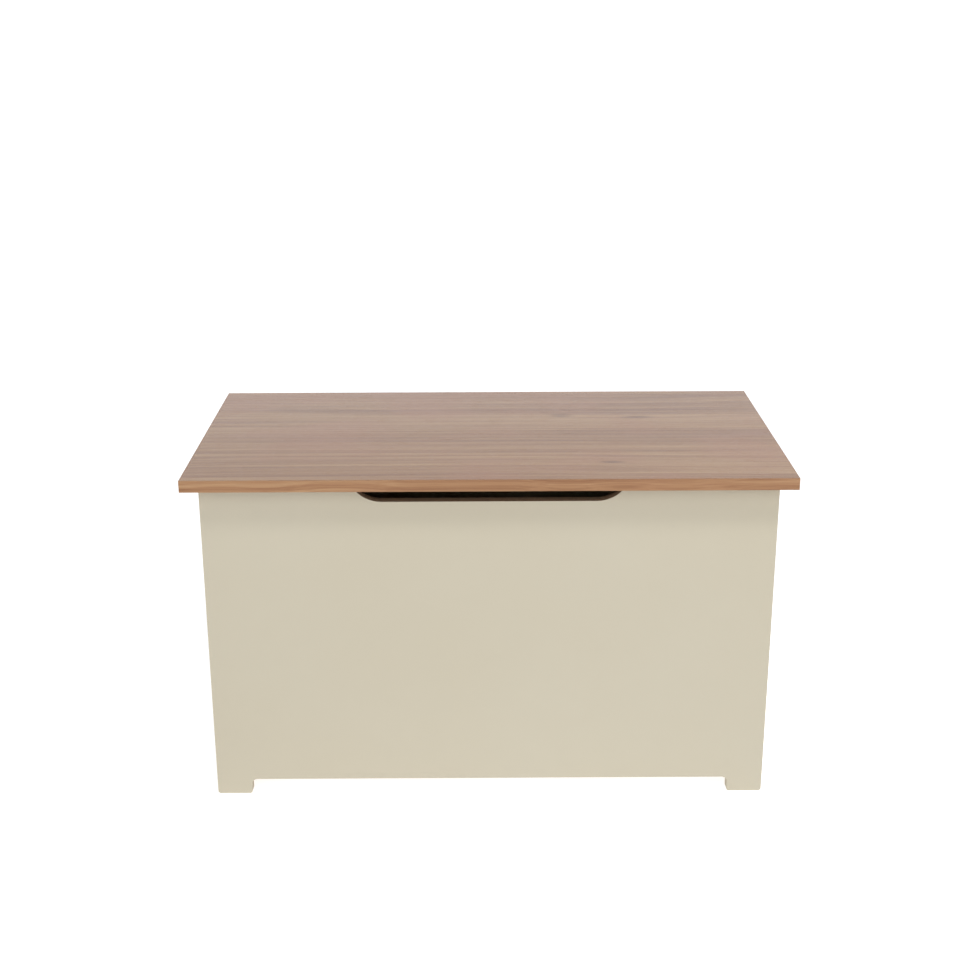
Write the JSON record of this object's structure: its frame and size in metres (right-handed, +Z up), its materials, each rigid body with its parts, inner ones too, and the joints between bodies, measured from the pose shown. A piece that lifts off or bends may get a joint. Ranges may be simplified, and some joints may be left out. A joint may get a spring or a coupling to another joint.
{
  "type": "lidded storage chest",
  "caption": "Free-standing storage chest on corner feet; its overhanging lid swings on a full-length piano hinge and is held open by gas stays.",
  "frame": {"origin": "on the floor, under the middle of the closed chest's outline", "axes": "+X to the right seen from the front, +Y to the back where the hinge is, +Z up"},
  "size_m": [0.8, 0.4282, 0.468],
  "materials": {
    "cream_paint": "cream satin paint on fibreboard, with bare brown fibreboard in the finger pull's cut edge",
    "oak_foil": "pale greyish oak foil with fine straight grain, matt",
    "oak_edging": "warm oak-print edging strip with fine straight streaks, satin",
    "pine": "bare planed pine",
    "zinc_steel": "bright zinc plate",
    "bright_steel": "ground and polished",
    "brass": "rolled brass, satin",
    "black_enamel": "smooth black enamel, semi-gloss",
    "black_plastic": "moulded black nylon, matt",
    "pad_rubber": "soft grey rubber"
  },
  "bodies": {
    "chest": {"front_panel": "cream_paint", "back_panel": "cream_paint", "left_side_panel": "cream_paint", "right_side_panel": "cream_paint", "base_panel": "cream_paint", "front_batten": "pine", "back_batten": "pine", "left_batten": "pine", "right_batten": "pine", "batten_screws": "zinc_steel", "base_screws": "zinc_steel", "cam_locks": "zinc_steel", "cam_bolts": "bright_steel", "dowels": "pine", "lid_bumpers": "pad_rubber", "hinge_body_leaf": "brass", "hinge_pin": "bright_steel", "hinge_body_screws": "brass", "left_stay_body_bracket": "zinc_steel", "left_stay_body_stud": "bright_steel", "right_stay_body_bracket": "zinc_steel", "right_stay_body_stud": "bright_steel", "stay_body_screws": "zinc_steel"},
    "lid": {"lid_board": "oak_foil", "lid_front_edging": "oak_edging", "lid_back_edging": "oak_edging", "lid_left_edging": "oak_edging", "lid_right_edging": "oak_edging", "hinge_lid_leaf": "brass", "hinge_lid_screws": "brass", "left_stay_lid_bracket": "zinc_steel", "left_stay_lid_stud": "bright_steel", "right_stay_lid_bracket": "zinc_steel", "right_stay_lid_stud": "bright_steel", "stay_lid_screws": "zinc_steel"},
    "left_stay_cylinder": {"left_stay_tube_socket": "black_plastic", "left_stay_tube": "black_enamel", "left_stay_rod_guide": "black_plastic"},
    "right_stay_cylinder": {"right_stay_tube_socket": "black_plastic", "right_stay_tube": "black_enamel", "right_stay_rod_guide": "black_plastic"},
    "left_stay_ram": {"left_stay_rod_socket": "black_plastic", "left_stay_rod": "bright_steel", "left_stay_piston": "zinc_steel"},
    "right_stay_ram": {"right_stay_rod_socket": "black_plastic", "right_stay_rod": "bright_steel", "right_stay_piston": "zinc_steel"}
  },
  "joints": [
    {"name": "lid_hinge", "type": "hinge", "parent": "chest", "child": "lid", "pos_m": [0, 0.2121, 0.45], "axis": [-1, 0, 0], "range_deg": [0, 85]},
    {"name": "left_cylinder_pivot", "type": "hinge", "parent": "chest", "child": "left_stay_cylinder", "pos_m": [-0.35, 0.1829, 0.25214], "axis": [-1, 0, 0], "range_deg": [0, 42.5]},
    {"name": "right_cylinder_pivot", "type": "hinge", "parent": "chest", "child": "right_stay_cylinder", "pos_m": [0.35, 0.1829, 0.25214], "axis": [-1, 0, 0], "range_deg": [0, 42.5]},
    {"name": "left_ram_pivot", "type": "hinge", "parent": "lid", "child": "left_stay_ram", "pos_m": [-0.35, 0.01246, 0.438], "axis": [-1, 0, 0], "range_deg": [-42.5, 0]},
    {"name": "right_ram_pivot", "type": "hinge", "parent": "lid", "child": "right_stay_ram", "pos_m": [0.35, 0.01246, 0.438], "axis": [-1, 0, 0], "range_deg": [-42.5, 0]}
  ],
  "couplings": [
    {"joint": "left_cylinder_pivot", "follows": "lid_hinge", "ratio": 0.5},
    {"joint": "right_cylinder_pivot", "follows": "lid_hinge", "ratio": 0.5},
    {"joint": "left_ram_pivot", "follows": "lid_hinge", "ratio": -0.5},
    {"joint": "right_ram_pivot", "follows": "lid_hinge", "ratio": -0.5}
  ]
}
